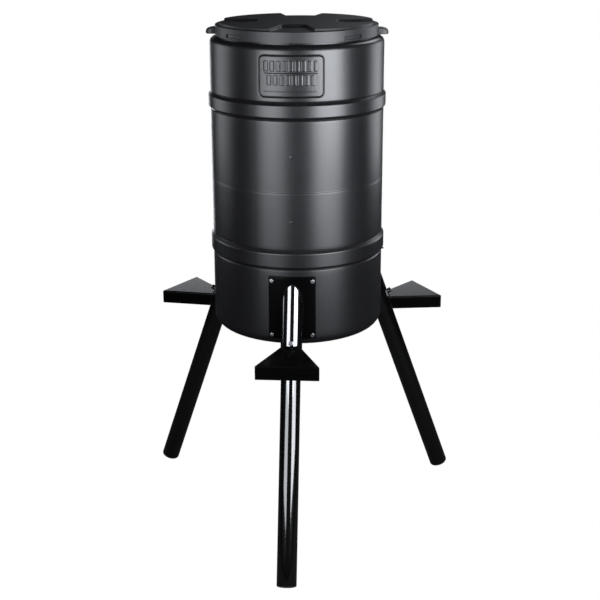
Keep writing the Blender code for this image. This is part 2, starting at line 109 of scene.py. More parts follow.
def spin(radius, height, angles):
    # radius and height carried round an upright axis, from -Y towards +X
    radius, height, angles = np.broadcast_arrays(radius, height, angles)
    return np.stack([radius * np.sin(angles), -radius * np.cos(angles), height], axis=-1)


def ringAngles(count):
    return np.linspace(0, fullTurn, count, endpoint=False)


def aroundDrum(grid, azimuth=0.0):
    # turns what is drawn at -Y to its azimuth about the drum's axis
    turn = math.radians(azimuth)
    x = grid[..., 0] * math.cos(turn) - grid[..., 1] * math.sin(turn)
    y = grid[..., 0] * math.sin(turn) + grid[..., 1] * math.cos(turn)
    return np.stack([x, y + axisY, grid[..., 2]], axis=-1)


def onLeg(grid, azimuth):
    # from a leg's own line, with its third number the distance up the leg, to the object
    y = grid[..., 1] * legCosine + grid[..., 2] * legSine - footReach
    z = -grid[..., 1] * legSine + grid[..., 2] * legCosine + footZ
    return aroundDrum(np.stack([grid[..., 0], y, z], axis=-1), azimuth)


def facingOut(grid, reach, height):
    # lays an upright fitting down so that its top points to -Y
    return np.stack([grid[..., 0], -grid[..., 2] - reach, grid[..., 1] + height], axis=-1)


def surface(name, grid, closed=False):
    # joins neighbouring points of a grid into faces, and its last column to its first. closed also joins
    # the last row to the first; otherwise a middle point is put inside both end rows
    rows, cols = grid.shape[:2]
    index = np.arange(rows * cols).reshape(rows, cols)
    index = np.concatenate([index, index[:, :1]], axis=1)
    points = grid.reshape(-1, 3)
    fans = np.zeros((0, 3), int)
    if closed:
        index = np.concatenate([index, index[:1]], axis=0)
    else:
        points = np.concatenate([points, grid[:1].mean(axis=1), grid[-1:].mean(axis=1)])
        apex = np.full(cols, rows * cols)
        fans = np.concatenate([np.stack([index[0, 1:], index[0, :-1], apex], axis=-1),
                               np.stack([index[-1, :-1], index[-1, 1:], apex + 1], axis=-1)])
    quads = np.stack([index[:-1, :-1], index[:-1, 1:], index[1:, 1:], index[1:, :-1]], axis=-1).reshape(-1, 4)
    triangles = np.concatenate([quads[:, :3], quads[:, [0, 2, 3]], fans])
    corners = points[triangles] - points.mean(axis=0)
    volume = (corners[:, 0] * np.cross(corners[:, 1], corners[:, 2])).sum()
    if volume < 0:                            # the faces point inwards, so they are turned over
        quads, fans = quads[:, ::-1], fans[:, ::-1]
    mesh = bpy.data.meshes.new(name)
    mesh.from_pydata(points.tolist(), [], quads.tolist() + fans.tolist())
    mesh.validate()
    mesh.shade_smooth()
    mesh.set_sharp_from_angle(angle=math.radians(40))
    return mesh


def addPiece(name, grid, finish, stands=(), body="hopper", closed=False):
    # a piece made from its placed grid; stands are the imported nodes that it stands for
    mesh = surface(name, grid, closed)
    item = bpy.data.objects.new(name, mesh)
    scene.collection.objects.link(item)
    material, slotName = finish
    mesh.materials.append(material)
    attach(item, body)
    if stands:
        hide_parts(*stands)


def turnProfile(profile, columns):
    return spin(profile[:, :1], profile[:, 1:], ringAngles(columns))


def tubeProfile(inner, outer, low, high, edge, steps=6):
    # the outline of a plain ring or tube with its four corners eased
    return rounded([(inner, low), (outer, low), (outer, high), (inner, high)], edge, steps)


def setInputs(tree, node, inputs):
    # an input that is given a socket is linked, anything else is set on the node itself
    for key, value in inputs.items():
        if isinstance(value, bpy.types.NodeSocket):
            tree.links.new(value, node.inputs[key])
        else:
            node.inputs[key].default_value = value


def addNode(tree, kind, inputs, **settings):
    node = tree.nodes.new(kind)
    for key, value in settings.items():
        setattr(node, key, value)
    setInputs(tree, node, inputs)
    return node


def math2(tree, operation, first, second=0.0, clamp=False):
    node = addNode(tree, "ShaderNodeMath", {0: first, 1: second}, operation=operation, use_clamp=clamp)
    return node.outputs[0]


def times(tree, first, second, clamp=False):
    return math2(tree, "MULTIPLY", first, second, clamp)


def plus(tree, first, second, clamp=False):
    return math2(tree, "ADD", first, second, clamp)


def minus(tree, first, second, clamp=False):
    return math2(tree, "SUBTRACT", first, second, clamp)


def rampUp(tree, value, start, gain):
    # 0 up to the start, then a climb to 1 at the gain
    return times(tree, minus(tree, value, start, True), gain, True)


def mixColour(tree, factor, first, second):
    return addNode(tree, "ShaderNodeMix", {0: factor, 6: first, 7: second}, data_type="RGBA").outputs[2]


def stretched(tree, vector, scale):
    return addNode(tree, "ShaderNodeMapping", {"Vector": vector, "Scale": scale}).outputs[0]


def noise(tree, vector, scale, detail=3.0, roughness=0.5):
    given = {"Vector": vector, "Scale": scale, "Detail": detail, "Roughness": roughness}
    return addNode(tree, "ShaderNodeTexNoise", given).outputs["Fac"]


def voronoi(tree, vector, scale, output):
    return addNode(tree, "ShaderNodeTexVoronoi", {"Vector": vector, "Scale": scale}).outputs[output]


def bump(tree, height, distance, strength=1.0, **more):
    given = {"Height": height, "Distance": distance, "Strength": strength, **more}
    return addNode(tree, "ShaderNodeBump", given).outputs[0]


def newGroup(name, inputs, outputs):
    group = bpy.data.node_groups.new(name, "ShaderNodeTree")
    kinds = {"v": "NodeSocketVector", "c": "NodeSocketColor", "f": "NodeSocketFloat"}
    for direction, sockets in (("INPUT", inputs), ("OUTPUT", outputs)):
        for label, kind in sockets:
            group.interface.new_socket(label, in_out=direction, socket_type=kinds[kind])
    return group, group.nodes.new("NodeGroupInput").outputs, group.nodes.new("NodeGroupOutput")


def makeSkinGroup():
    # moulded plastic: fine grain, slow flow lines that run up the wall, and a few light scuffs
    group, given, result = newGroup(
        "moulded skin", [("Vector", "v"), ("Base", "c"), ("Pale", "c"), ("Grain", "f"), ("Rough", "f"),
                         ("Rough Spread", "f"), ("Scuffs", "f")],
        [("Colour", "c"), ("Roughness", "f"), ("Height", "f"), ("Normal Height", "f")])
    vector = given["Vector"]
    fine = noise(group, vector, 1500.0, 2.0)
    grain = noise(group, vector, 420.0, 4.0, 0.6)
    flow = noise(group, stretched(group, vector, (1.0, 1.0, 0.10)), 34.0, 4.0, 0.55)
    cloud = noise(group, vector, 6.0, 3.0)
    thin = noise(group, stretched(group, vector, (1.0, 1.0, 9.0)), 60.0, 5.0, 0.65)
    scuff = times(group, rampUp(group, thin, 0.66, 5.0), rampUp(group, cloud, 0.52, 6.0))
    scuff = times(group, scuff, given["Scuffs"], True)
    tone = plus(group, times(group, flow, 0.45), times(group, cloud, 0.55))
    paleness = plus(group, times(group, tone, 0.5), scuff, True)
    spread = times(group, minus(group, tone, 0.5), given["Rough Spread"])
    height = plus(group, times(group, fine, 0.35), times(group, grain, 0.65))
    setInputs(group, result, {
        "Colour": mixColour(group, paleness, given["Base"], given["Pale"]),
        "Roughness": plus(group, plus(group, given["Rough"], spread), times(group, scuff, 0.18)),
        "Height": times(group, height, given["Grain"]), "Normal Height": flow})
    return group


def makeDustGroup():
    # settled dust: strongest on faces that look up, broken into soft patches
    group, given, result = newGroup("settled dust", [("Vector", "v"), ("Amount", "f")], [("Mask", "f")])
    facing = addNode(group, "ShaderNodeNewGeometry", {}).outputs["Normal"]
    up = addNode(group, "ShaderNodeSeparateXYZ", {0: facing}).outputs[2]
    up = math2(group, "POWER", math2(group, "MAXIMUM", up, 0.0), 1.6)
    patches = rampUp(group, noise(group, given["Vector"], 22.0, 6.0, 0.65), 0.32, 2.2)
    specks = rampUp(group, noise(group, given["Vector"], 900.0, 2.0), 0.62, 6.0)
    mask = times(group, up, plus(group, times(group, patches, 0.6), times(group, specks, 0.5)))
    setInputs(group, result, {"Mask": times(group, mask, given["Amount"], True)})
    return group


def makeEdgeWearAndHighlightGroup():
    # rubbed edges and painted highlight: convex edges, broken up by a noise, lightened partly as rubbed paint
    # and partly as a painted highlight along the bends
    group, given, result = newGroup("rubbed edges and painted highlight", [("Vector", "v"), ("Amount", "f")], [("Mask", "f")])
    point = addNode(group, "ShaderNodeNewGeometry", {}).outputs["Pointiness"]
    broken = rampUp(group, noise(group, given["Vector"], 160.0, 5.0, 0.7), 0.42, 4.0)
    mask = times(group, rampUp(group, point, 0.53, 9.0), broken)
    setInputs(group, result, {"Mask": times(group, mask, given["Amount"], True)})
    return group


skinGroup, dustGroup, edgeWearAndHighlightGroup = makeSkinGroup(), makeDustGroup(), makeEdgeWearAndHighlightGroup()

finishValues = {
    "drum plastic": {"base": (0.0028, 0.0028, 0.0034), "pale": (0.0050, 0.0050, 0.0060), "rough": 0.34,
                     "spread": 0.08, "grain": 0.55, "scuffs": 0.35, "dust": 0.05, "depth": 0.00010},
    "lid plastic": {"base": (0.004, 0.004, 0.005), "pale": (0.010, 0.010, 0.012), "rough": 0.48,
                    "spread": 0.12, "grain": 0.9, "scuffs": 0.6, "dust": 0.04, "depth": 0.00016},
    # wearAndHighlight is how strongly convex edges are lightened, partly as rubbed paint and partly as a
    # painted highlight along the bends
    "gloss black paint": {"base": (0.0014, 0.0014, 0.0015), "rough": 0.085, "peel": 0.00003, "wearAndHighlight": 0.12,
                          "dust": 0.03, "coat": 1.0, "coatRough": 0.04, "ior": 1.8},
    "satin black paint": {"base": (0.0010, 0.0010, 0.0011), "rough": 0.22, "peel": 0.00003, "wearAndHighlight": 0.12,
                          "dust": 0.015, "coat": 0.0, "coatRough": 0.04, "ior": 1.12},
    "zinc plate": {"dark": (0.10, 0.10, 0.105), "light": (0.42, 0.43, 0.45), "rough": 0.26},
    "black rubber": {"base": (0.010, 0.010, 0.011), "pale": (0.022, 0.022, 0.023), "rough": 0.72},
}
dustColour = (0.17, 0.165, 0.155, 1.0)
# the lighter colour of convex edges on black paint: partly rubbed paint, partly a painted highlight along the
# bends
wornAndHighlightColour = (0.09, 0.09, 0.095, 1.0)


def startMaterial(name):
    material = bpy.data.materials.new(name)
    material.use_nodes = True
    tree = material.node_tree
    vector = addNode(tree, "ShaderNodeTexCoord", {}).outputs["Object"]
    return finishValues[name], material, tree, tree.nodes["Principled BSDF"], vector


def maskFrom(tree, group, vector, amount):
    given = {"Vector": vector, "Amount": amount}
    return addNode(tree, "ShaderNodeGroup", given, node_tree=group).outputs["Mask"]


def mouldedPlastic(name, panel=None):
    values, material, tree, shader, vector = startMaterial(name)
    given = {"Vector": vector, "Base": (*values["base"], 1.0), "Pale": (*values["pale"], 1.0),
             "Grain": values["grain"], "Rough": values["rough"], "Rough Spread": values["spread"],
             "Scuffs": values["scuffs"]}
    skin = addNode(tree, "ShaderNodeGroup", given, node_tree=skinGroup).outputs
    dust = maskFrom(tree, dustGroup, vector, values["dust"])
    height = skin["Height"]
    if panel:                                 # the label panel is finely pebbled inside its edge
        parts = addNode(tree, "ShaderNodeSeparateXYZ", {0: vector}).outputs
        angle = math2(tree, "ARCTAN2", parts[0], minus(tree, axisY, parts[1]))
        inAngle = math2(tree, "LESS_THAN", math2(tree, "ABSOLUTE", angle), panel["halfAngle"])
        offMiddle = math2(tree, "ABSOLUTE", minus(tree, parts[2], panel["middleZ"]))
        inside = times(tree, inAngle, math2(tree, "LESS_THAN", offMiddle, panel["halfHigh"]))
        pebble = times(tree, voronoi(tree, vector, 620.0, "Distance"), inside)
        height = plus(tree, height, times(tree, pebble, 1.6))
    fine = bump(tree, height, values["depth"], 0.8)
    setInputs(tree, shader, {"Base Color": mixColour(tree, dust, skin["Colour"], dustColour),
                             "Roughness": skin["Roughness"], "IOR": 1.5,
                             "Normal": bump(tree, skin["Normal Height"], 0.0004, 0.35, Normal=fine)})
    return material


def blackPaint(name):
    # powder coat: near black under a clear hard gloss, with a slight orange peel
    values, material, tree, shader, vector = startMaterial(name)
    dust = maskFrom(tree, dustGroup, vector, values["dust"])
    # convex edges are mixed towards a lighter colour: partly rubbed paint, partly a painted highlight along
    # the bends
    edge = maskFrom(tree, edgeWearAndHighlightGroup, vector, values["wearAndHighlight"])
    wornAndHighlighted = mixColour(tree, edge, (*values["base"], 1.0), wornAndHighlightColour)
    haze = times(tree, noise(tree, vector, 18.0, 4.0), 0.05)
    rough = plus(tree, plus(tree, values["rough"], haze), times(tree, plus(tree, dust, edge), 0.4))
    setInputs(tree, shader, {"Base Color": mixColour(tree, dust, wornAndHighlighted, dustColour), "Roughness": rough,
                             "Coat Weight": values["coat"], "Coat Roughness": values["coatRough"],
                             "IOR": values["ior"],
                             "Normal": bump(tree, noise(tree, vector, 260.0, 2.0), values["peel"], 0.5)})
    return material


def zincPlate(name):
    values, material, tree, shader, vector = startMaterial(name)
    spangle = addNode(tree, "ShaderNodeSeparateColor", {0: voronoi(tree, vector, 700.0, "Color")}).outputs[0]
    cloud = noise(tree, vector, 240.0, 4.0)
    tone = plus(tree, times(tree, spangle, 0.4), times(tree, cloud, 0.6))
    colour = mixColour(tree, tone, (*values["dark"], 1.0), (*values["light"], 1.0))
    setInputs(tree, shader, {"Base Color": colour, "Metallic": 1.0,
                             "Roughness": plus(tree, values["rough"] - 0.08, times(tree, cloud, 0.2)),
                             "Normal": bump(tree, noise(tree, vector, 1400.0, 2.0), 0.00003)})
    return material


def blackRubber(name):
    values, material, tree, shader, vector = startMaterial(name)
    cloud = noise(tree, vector, 90.0, 5.0)
    colour = mixColour(tree, cloud, (*values["base"], 1.0), (*values["pale"], 1.0))
    setInputs(tree, shader, {"Base Color": colour,
                             "Roughness": plus(tree, values["rough"] - 0.05, times(tree, cloud, 0.12)),
                             "Normal": bump(tree, noise(tree, vector, 1300.0, 3.0), 0.00008)})
    return material


labelPanel = {"z": (1.206, 1.307), "halfAngle": math.radians(20.3), "corner": 0.012, "proud": 0.0010,
              "groove": 0.0014, "blockColumns": 14, "blockHalf": 0.0052, "reliefProud": 0.0009,
              "rows": ((1.2690, 1.2950, 9), (1.2350, 1.2605, 8)),
              "bars": ((1.2647, 0.0011), (1.2200, 0.0014))}
panelMiddle = sum(labelPanel["z"]) / 2
panelHalfHigh = (labelPanel["z"][1] - labelPanel["z"][0]) / 2

plasticFinish = (mouldedPlastic("drum plastic", {"halfAngle": labelPanel["halfAngle"] - 0.012,
                 "middleZ": panelMiddle, "halfHigh": panelHalfHigh - 0.003}), "drum_plastic")
lidFinish = (mouldedPlastic("lid plastic"), "lid_plastic")
steelFinish = (blackPaint("gloss black paint"), "black_steel")
satinFinish = (blackPaint("satin black paint"), "black_steel")
zincFinish = (zincPlate("zinc plate"), "zinc")
rubberFinish = (blackRubber("black rubber"), "rubber")
print("hopper: finishes ready")


drumShape = {"wall": 0.0045, "baseZ": 0.557, "baseEdge": 0.025, "shoulderZ": 1.3315, "shoulderEdge": 0.015,
             "hoops": ((0.763, 0.813), (1.148, 1.192)), "hoopProud": 0.0055, "hoopSlope": 0.0085,
             "creaseDeep": 0.0020, "creaseWide": 0.0014, "seamZ": 0.965, "seamHigh": 0.0003,
             "pips": (0.889, 1.056), "pipHigh": 0.0008, "neckRadius": 0.2045, "neckTop": 1.354,
             "neckDip": ((0.2100, 1.3311), (0.2076, 1.3295), (0.2060, 1.3272), (0.2048, 1.3258)),
             "beadZ": 1.343,
             "bead": ((-0.0045, 0.0), (-0.0025, 0.001), (0.0, 0.0015), (0.0025, 0.001), (0.004, 0.0)),
             "outletRadius": 0.036, "kickUp": 0.0018, "wave": 0.00022,
             "fineStep": math.radians(0.28), "fineColumns": 81, "plainColumns": 112}


def hoopLift(height):
    # how far the wall stands out at a height: two rolled hoops, each with a crease above and below it
    lift = np.zeros_like(height)
    for low, high in drumShape["hoops"]:
        fromLow, fromHigh = (height - low) / drumShape["hoopSlope"], (high - height) / drumShape["hoopSlope"]
        lift = lift + drumShape["hoopProud"] * smooth(fromLow) * smooth(fromHigh)
        for edge in (low - 0.0006, high + 0.0006):
            lift = lift - drumShape["creaseDeep"] * bell(height, edge, drumShape["creaseWide"])
    return lift


def panelLift(angle, height):
    # the raised label panel: a round-cornered plate in a groove, with rows of plain blocks and thin bars
    across, up = angle * drumRadius, height - panelMiddle
    edge = boxDistance(across, up, labelPanel["halfAngle"] * drumRadius, panelHalfHigh, labelPanel["corner"])
    lift = labelPanel["proud"] * smooth(-edge / 0.0022) - labelPanel["groove"] * bell(edge, 0.0008, 0.0011)
    pitch = labelPanel["blockColumns"] * drumShape["fineStep"] * drumRadius
    relief = 0.0 * lift
    for low, high, count in labelPanel["rows"]:
        inCell = np.mod(across + pitch * count / 2, pitch) - pitch / 2
        offMiddle = height - (low + high) / 2
        block = boxDistance(inCell, offMiddle, labelPanel["blockHalf"], (high - low) / 2, 0.002)
        relief = np.maximum(relief, smooth(-block / 0.0011) * (np.abs(across) < count / 2 * pitch))
    barWide = labelPanel["rows"][0][2] / 2 * pitch - 0.003
    for middle, half in labelPanel["bars"]:
        bar = boxDistance(across, height - middle, barWide, half, 0.0008)
        relief = np.maximum(relief, 0.7 * smooth(-bar / 0.0009))
    return lift + labelPanel["reliefProud"] * relief


def makeDrum():
    # rows run from the outlet, over the base, up the side, over the shoulder and neck, and back down inside
    shape = drumShape
    wall, baseZ = shape["wall"], shape["baseZ"]
    quarter = np.linspace(-math.pi / 2, 0, 10)
    baseR = drumRadius - shape["baseEdge"]
    flatR = np.concatenate([[shape["outletRadius"], shape["outletRadius"] + 0.0006],
                            np.linspace(0.092, 0.106, 7), np.linspace(0.178, 0.194, 7)])
    flatZ = baseZ + shape["kickUp"] * smooth((flatR - 0.093) / 0.012) * smooth((0.193 - flatR) / 0.012)
    flatZ[0] += 0.0006
    baseArc = np.stack([baseR + shape["baseEdge"] * np.cos(quarter),
                        baseZ + shape["baseEdge"] * (1 + np.sin(quarter))], axis=-1)
    sideLow, sideHigh = baseZ + shape["baseEdge"], shape["shoulderZ"] - shape["shoulderEdge"]
    seam, (panelLow, panelHigh) = shape["seamZ"], labelPanel["z"]
    runs = [np.linspace(sideLow, sideHigh, 46), np.linspace(seam - 0.003, seam + 0.003, 13),
            np.arange(panelLow - 0.004, panelHigh + 0.004, 0.0011)]
    for low, high in shape["hoops"]:
        runs += [np.linspace(low - 0.004, low + 0.010, 18), np.linspace(high - 0.010, high + 0.004, 18)]
    for pip in shape["pips"]:
        runs.append(np.linspace(pip - 0.005, pip + 0.005, 9))
    sideZ = np.unique(np.round(np.concatenate(runs), 4))[1:-1]
    shoulderR = drumRadius - shape["shoulderEdge"]
    shoulderArc = np.stack([shoulderR - shape["shoulderEdge"] * np.sin(quarter),
                            sideHigh + shape["shoulderEdge"] * np.cos(quarter)], axis=-1)
    neck, top = shape["neckRadius"], shape["neckTop"]
    bead = [(neck + proud, shape["beadZ"] + up) for up, proud in shape["bead"]]
    neckOut = np.array([*shape["neckDip"], (neck, 1.3262), *bead, (neck, top - 0.0008), (neck - 0.0008, top)])
    inR = drumRadius - wall
    inTop = shape["shoulderZ"] - wall
    inside = [(neck - wall + 0.0008, top), (neck - wall, top - 0.0008), (neck - wall, inTop - 0.006),
              (shoulderR, inTop), (inR - 0.004, inTop - 0.005), (inR, sideHigh)]
    for low, high in shape["hoops"][::-1]:
        inside += [(inR, high), (inR + 0.0055, high - 0.007), (inR + 0.0055, low + 0.007), (inR, low)]
    inside += [(inR, sideLow), (inR - 0.006, baseZ + 0.011), (baseR, baseZ + wall),
               (shape["outletRadius"] + 0.0006, baseZ + wall), (shape["outletRadius"], baseZ + wall - 0.0006)]
    inside = np.array(inside)
    flat = np.stack([flatR, flatZ], axis=-1)
    side = np.stack([drumRadius + hoopLift(sideZ), sideZ], axis=-1)
    radius, height = np.concatenate([flat, baseArc, side, shoulderArc, neckOut, inside]).T
    onSide = np.zeros(len(radius))
    start = len(flatR) + len(baseArc)
    onSide[start:start + len(sideZ)] = 1.0
    reach = shape["fineColumns"] * shape["fineStep"]
    fine = np.arange(-shape["fineColumns"], shape["fineColumns"] + 1) * shape["fineStep"]
    angles = np.concatenate([fine, np.linspace(reach, fullTurn - reach, shape["plainColumns"] + 2)[1:-1]])
    turned = np.where(angles > math.pi, angles - fullTurn, angles)[None, :]
    z = height[:, None]
    wave = np.sin(3 * turned + 9 * z) * np.sin(21 * z + 1) + 0.6 * np.sin(7 * turned - 14 * z)
    lift = panelLift(turned, z) + shape["wave"] * wave * smooth((z - 0.82) / 0.06) * smooth((1.30 - z) / 0.05)
    for pip in shape["pips"]:
        lift = lift + shape["pipHigh"] * np.exp(-((turned * drumRadius) ** 2 + (z - pip) ** 2) / 0.0024 ** 2)
    lift = lift + shape["seamHigh"] * (bell(z, seam, 0.0006) - 0.9 * bell(z, seam - 0.0016, 0.0008))
    grid = spin(radius[:, None] + lift * onSide[:, None], z, angles[None, :])
    addPiece("drum_shell", aroundDrum(grid), plasticFinish, ("drum",), closed=True)


makeDrum()
print("hopper: drum made")


ringShape = {"radius": 0.212, "skirt": 0.2085, "bore": 0.194, "throat": 0.1975, "low": 1.3352,
             "high": 1.3625, "seatZ": 1.3575, "throatFoot": 1.326, "webZ": 1.3544, "slotZ": 1.344,
             "slotHalf": (0.0295, 0.005), "slotDeep": 0.0068, "slotFrame": 0.0020, "insertDeep": 0.0010,
             "slotAzimuths": (45, 135, -135, -45),
             "slotEase": 0.0004, "shiftedSlot": -45, "insertShift": 0.0025, "insertEdge": 0.0065,
             "notchHalf": 0.0015, "notchHigh": 0.0035, "notchDeep": 0.0032, "notchEase": 0.0008,
             "earHalf": 0.015, "earLow": 1.3360, "earHigh": 0.0160, "earRoot": 0.001,
             "earOutline": ((0.2362, 0.0, 0.0022), (0.2380, 0.005, 0.005), (0.2345, 0.0140, 0.007),
                            (0.2230, 0.0174, 0.010)),
             "edgeSteps": (-0.0004, 0.0, 0.0004, 0.0013, 0.0017, 0.0021),
             "earSteps": (0.0, 0.0008, 0.002, 0.004, 0.0065, 0.010, 0.014)}


def makeLidRing():
    # rows run up the outside, over the rim, down to the seat and the throat, and back up to the skirt.
    # a slot sinks the outside wall, and in an ear the outside wall follows the ear's own outline instead
    shape = ringShape
    outer, low, high = shape["radius"], shape["low"], shape["high"]
    earTop = shape["earLow"] + shape["earHigh"]
    halfHigh = shape["slotHalf"][1]
    edges = np.array(shape["edgeSteps"])
    wallZ = np.concatenate([np.linspace(low + 0.0006, shape["earLow"], 3),
                            np.linspace(shape["earLow"], earTop, 30),
                            shape["slotZ"] - halfHigh + edges, shape["slotZ"] + halfHigh - edges,
                            low + shape["notchHigh"] + np.array([-0.0002, 0.0002]),
                            np.linspace(earTop, high - 0.0012, 5)])
    wallZ = np.unique(np.round(wallZ, 5))
    skirt, bore, throat = shape["skirt"], shape["bore"], shape["throat"]
    seat, foot, web = shape["seatZ"], shape["throatFoot"], shape["webZ"]
    rim = rounded([(outer, high - 0.004), (outer, high), (skirt, high), (skirt, seat), (bore, seat),
                   (bore, foot), (throat, foot), (throat, web), (skirt, web), (skirt, low), (outer, low),
                   (outer, low + 0.004)],
                  [0, 0.0012, 0.0007, 0.0006, 0.0010, 0.0008, 0.0006, 0.0010, 0.0006, 0.0004, 0.0006, 0],
                  steps=5, closed=False)[1:-1]
    columns = [ringAngles(120)]
    slotEdge = math.asin(shape["slotHalf"][0] / outer)
    for azimuth in shape["slotAzimuths"]:
        middle = math.radians(azimuth)
        for side in (-1, 1):
            columns.append(middle + side * (slotEdge - edges / outer))
    insertStart = shape["insertEdge"] + np.array([-0.0003, 0.0003])
    columns.append(math.radians(shape["shiftedSlot"]) - slotEdge + insertStart / outer)
    notch = shape["notchHalf"] / outer
    columns.append(np.array([-notch - 0.001, -notch, -notch + 0.0008, notch - 0.0008, notch, notch + 0.001]))
    earEdge = math.asin(shape["earHalf"] / outer)
    spread = np.array(shape["earSteps"]) / outer
    for side in (-1, 1):
        columns += [side * math.pi / 2 - earEdge + spread, side * math.pi / 2 + earEdge - spread]
    angles = np.unique(np.round(np.mod(np.concatenate(columns), fullTurn), 5))[None, :]
    angles = angles[:, np.concatenate([[True], np.diff(angles[0]) > 0.0004])]
    turned = np.where(angles > math.pi, angles - fullTurn, angles)
    z = wallZ[:, None]
    radius = np.full((len(wallZ), angles.shape[1]), outer)
    for azimuth in shape["slotAzimuths"]:
        away = turned - math.radians(azimuth)
        across = outer * np.sin(away) + 9.0 * (np.cos(away) < 0)    # the far side is sent well away
        up, frameWide = z - shape["slotZ"], shape["slotFrame"]
        edge = -boxDistance(across, up, *shape["slotHalf"], 0.0003)
        shift = shape["insertShift"] if azimuth == shape["shiftedSlot"] else 0.0
        insertHalf = shape["slotHalf"][0] - frameWide - shift
        insert = -boxDistance(across - shift, up, insertHalf, halfHigh - frameWide, 0.0003)
        radius -= shape["slotDeep"] * np.clip(edge / shape["slotEase"], 0, 1)
        radius += (shape["slotDeep"] - shape["insertDeep"]) * np.clip(insert / shape["slotEase"], 0, 1)
    inNotch = np.clip((notch - np.abs(turned)) / shape["notchEase"], 0, 1) * (z < low + shape["notchHigh"])
    radius -= shape["notchDeep"] * inNotch
    outside = spin(radius, z, angles)
    # an ear: its outline by length along it, and its width measured straight across. A point of the
    # outline is its distance from the axis, its height above the ear's foot and its corner's radius
    earBase, earRoot = shape["earLow"], outer - shape["earRoot"]
    points = np.array([(earRoot, 0, 0), *shape["earOutline"], (earRoot, shape["earHigh"], 0)])
    outline = rounded(points[:, :2] + (0, earBase), points[:, 2], steps=7, closed=False)
    length = np.concatenate([[0], np.cumsum(np.linalg.norm(np.diff(outline, axis=0), axis=1))])
    inEar = (wallZ >= earBase - 1e-6) & (wallZ <= earTop + 1e-6)
    part = np.clip((wallZ - earBase) / (earTop - earBase), 0, 1) * length[-1]
    earR = np.interp(part, length, outline[:, 0])[:, None]
    earZ = np.interp(part, length, outline[:, 1])[:, None]
    for side in (-1, 1):
        away = turned - side * math.pi / 2
        across = outer * np.sin(away)
        within = (np.abs(across) < shape["earHalf"]) & (np.cos(away) > 0)
        plan = np.sqrt(np.clip(1 - (np.abs(across) / (shape["earHalf"] + 0.0003)) ** 5, 0, 1))
        along = outer * np.cos(away) + (earR - outer) * plan
        ear = np.stack([side * along + 0 * z, side * across + 0 * along, earZ + 0 * along], axis=-1)
        use = (inEar[:, None] & within)[..., None]
        outside = np.where(use, ear, outside)
    grid = np.concatenate([outside, spin(rim[:, :1], rim[:, 1:], angles)])
    addPiece("lid_ring_shell", aroundDrum(grid), lidFinish, ("lid_ring",), closed=True)


makeLidRing()
print("hopper: lid ring made")


lidShape = {"top": 1.370, "floor": 1.3625, "flange": 1.3595, "radius": 0.2078, "lobe": 0.2055, "inner": 0.105,
            "innerHalf": 0.030, "rimHalf": 0.0565, "slope": 0.0042, "corner": 0.012, "sheet": 0.003,
            "threadRadius": 0.1915, "threadWall": 0.004, "threadFoot": 1.338, "threadPitch": 0.0075,
            "threadProud": 0.0016, "hollow": 0.1835, "sideRadius": 0.15,
            "sideSteps": (-0.012, -0.008, -0.005, -0.003, -0.0015, 0, 0.0012, 0.0024, 0.0036, 0.0048, 0.0064,
                          0.009)}


def pocketSide(radius):
    # half the angle of a finger pocket at a radius
    shape = lidShape
    part = np.clip((radius - shape["inner"]) / (shape["lobe"] - shape["inner"]), 0, 1)
    half = shape["innerHalf"] + (shape["rimHalf"] - shape["innerHalf"]) * part
    return np.arcsin(half / np.maximum(radius, shape["inner"]))


def lobeHeight(radius, away, setIn, rim):
    # 1 on the lobes and 0 in the pockets. away is the angle from a pocket's middle, and the
    # distance into a pocket is the smaller of those to its sides and its inner end, with the corners eased
    shape = lidShape
    fromSide = (pocketSide(radius) - np.abs(away)) * radius + setIn
    fromEnd = radius - shape["inner"] + setIn
    gap = np.clip((shape["corner"] - np.abs(fromSide - fromEnd)) / shape["corner"], 0, 1)
    inward = np.minimum(fromSide, fromEnd) - gap * gap * shape["corner"] / 4
    return (1 - smooth(inward / shape["slope"] + 0.15)) * (1 - smooth((radius - rim + 0.0028) / 0.0028))


